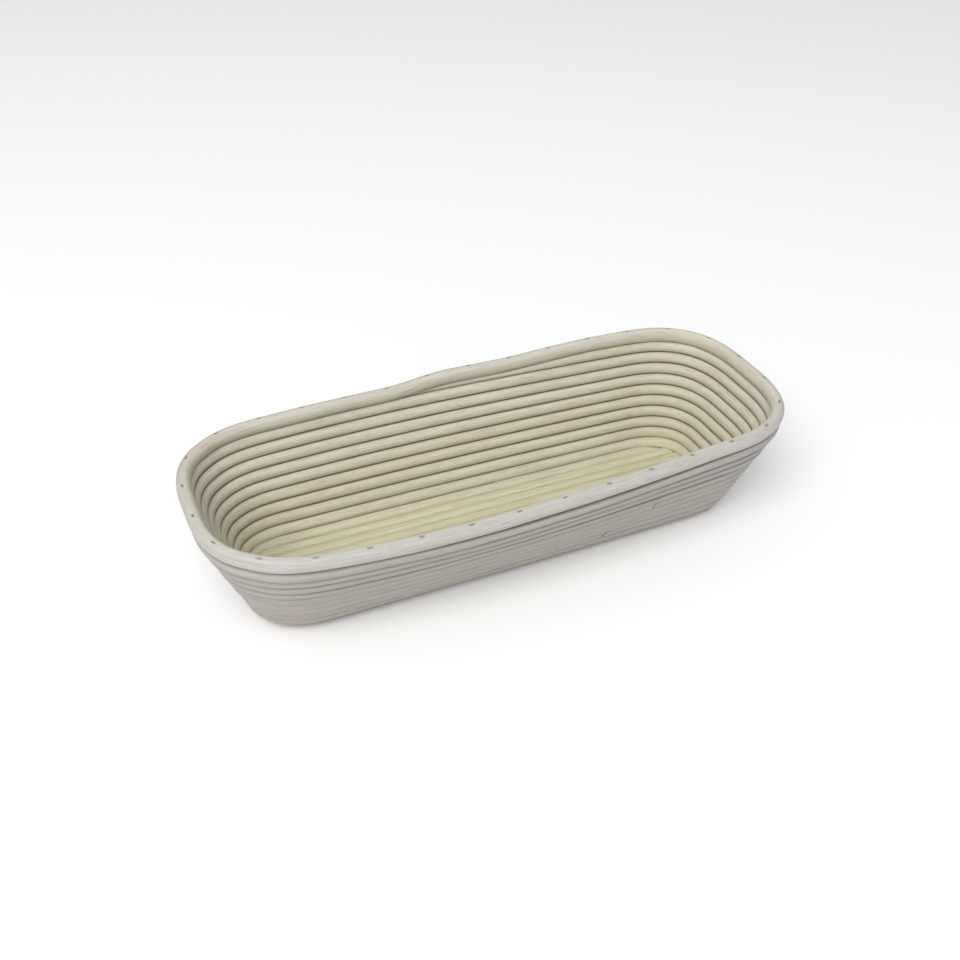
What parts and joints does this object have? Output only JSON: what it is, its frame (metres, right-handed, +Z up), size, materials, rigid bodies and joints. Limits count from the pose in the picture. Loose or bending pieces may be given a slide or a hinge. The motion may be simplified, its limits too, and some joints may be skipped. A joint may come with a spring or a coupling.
{
  "type": "oblong proving basket",
  "caption": "Oblong bread-proving basket: round rattan cane spiralled up flared walls over a floor of straight canes, with a thicker rim cane and wire staples.",
  "frame": {"origin": "middle of the underside, on the plane that the floor canes rest on", "axes": "+X along the basket's length, +Y towards its back wall, +Z up out of the opening"},
  "size_m": [0.3592, 0.1559, 0.0785],
  "materials": {
    "wall_cane": "peeled rattan core, dry and unvarnished, sanded outside",
    "rim_cane": "peeled rattan core, dry and unvarnished, smooth",
    "floor_cane": "peeled rattan core, dry and unvarnished, sanded flat below",
    "staple_wire": "plain galvanised wire, slightly dull"
  },
  "bodies": {
    "root": {"wall_cane_1": "wall_cane", "wall_cane_2": "wall_cane", "wall_cane_3": "wall_cane", "wall_cane_4": "wall_cane", "rim_cane": "rim_cane", "floor_cane_1": "floor_cane", "floor_cane_2": "floor_cane", "floor_cane_3": "floor_cane", "floor_cane_4": "floor_cane", "floor_cane_5": "floor_cane", "floor_cane_6": "floor_cane", "floor_cane_7": "floor_cane", "floor_cane_8": "floor_cane", "floor_cane_9": "floor_cane", "rim_staples": "staple_wire", "wall_staples_1": "staple_wire", "wall_staples_2": "staple_wire", "wall_staples_3": "staple_wire", "wall_staples_4": "staple_wire", "floor_staples": "staple_wire", "end_staples": "staple_wire"}
  },
  "joints": []
}
